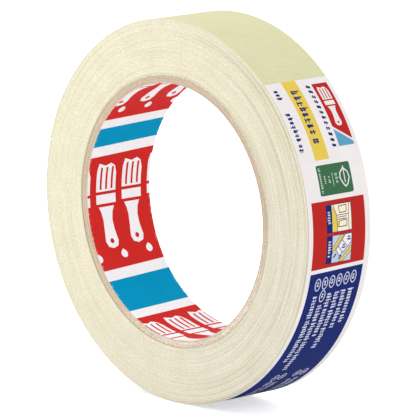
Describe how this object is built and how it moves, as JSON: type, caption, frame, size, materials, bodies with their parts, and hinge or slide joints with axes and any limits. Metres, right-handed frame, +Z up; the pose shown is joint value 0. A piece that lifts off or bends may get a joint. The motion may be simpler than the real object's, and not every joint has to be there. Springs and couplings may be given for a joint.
{
  "type": "masking tape roll",
  "caption": "Roll of crepe paper masking tape on a printed cardboard core, with a paper label round the rim and ends that peel.",
  "frame": {"origin": "centre of the core's bore, halfway along it", "axes": "+Y along the bore, away from the open face that the storage view shows; +Z up, with the roll standing on its rim; +X towards the side where the label's top edge is"},
  "size_m": [0.1146, 0.025, 0.1143],
  "materials": {
    "core_liner": "satin",
    "core_board": "matte",
    "tape": "matte",
    "label": "satin"
  },
  "bodies": {
    "roll": {"core_liner": "core_liner", "core_ply_1": "core_board", "core_ply_2": "core_board", "core_ply_3": "core_board", "core_ply_4": "core_board", "core_ply_5": "core_board", "tape_pack": "tape", "tape_last_turn": "tape", "label": "label"},
    "tape_peel_root": {"tape_end_root": "tape"},
    "tape_peel_middle": {"tape_end_middle": "tape"},
    "tape_peel_tip": {"tape_end_tip": "tape"},
    "label_peel_root": {"label_end_root": "label"},
    "label_peel_tip": {"label_end_tip": "label"}
  },
  "joints": [
    {"name": "tape_peel", "type": "hinge", "parent": "roll", "child": "tape_peel_root", "pos_m": [-0.02133, 0, 0.0528], "axis": [0, 1, 0], "range_deg": [0, 60]},
    {"name": "tape_curl_middle", "type": "hinge", "parent": "tape_peel_root", "child": "tape_peel_middle", "pos_m": [-0.03623, 0, 0.04394], "axis": [0, 1, 0], "range_deg": [0, 35]},
    {"name": "tape_curl_tip", "type": "hinge", "parent": "tape_peel_middle", "child": "tape_peel_tip", "pos_m": [-0.04776, 0, 0.03102], "axis": [0, 1, 0], "range_deg": [0, 35]},
    {"name": "label_peel", "type": "hinge", "parent": "roll", "child": "label_peel_root", "pos_m": [-0.05178, 0, -0.02414], "axis": [0, -1, 0], "range_deg": [0, 45]},
    {"name": "label_curl_tip", "type": "hinge", "parent": "label_peel_root", "child": "label_peel_tip", "pos_m": [-0.05626, 0, -0.00992], "axis": [0, -1, 0], "range_deg": [0, 30]}
  ],
  "couplings": [
    {"joint": "tape_curl_middle", "follows": "tape_peel", "ratio": 0.58},
    {"joint": "tape_curl_tip", "follows": "tape_peel", "ratio": 0.58},
    {"joint": "label_curl_tip", "follows": "label_peel", "ratio": 0.66}
  ]
}
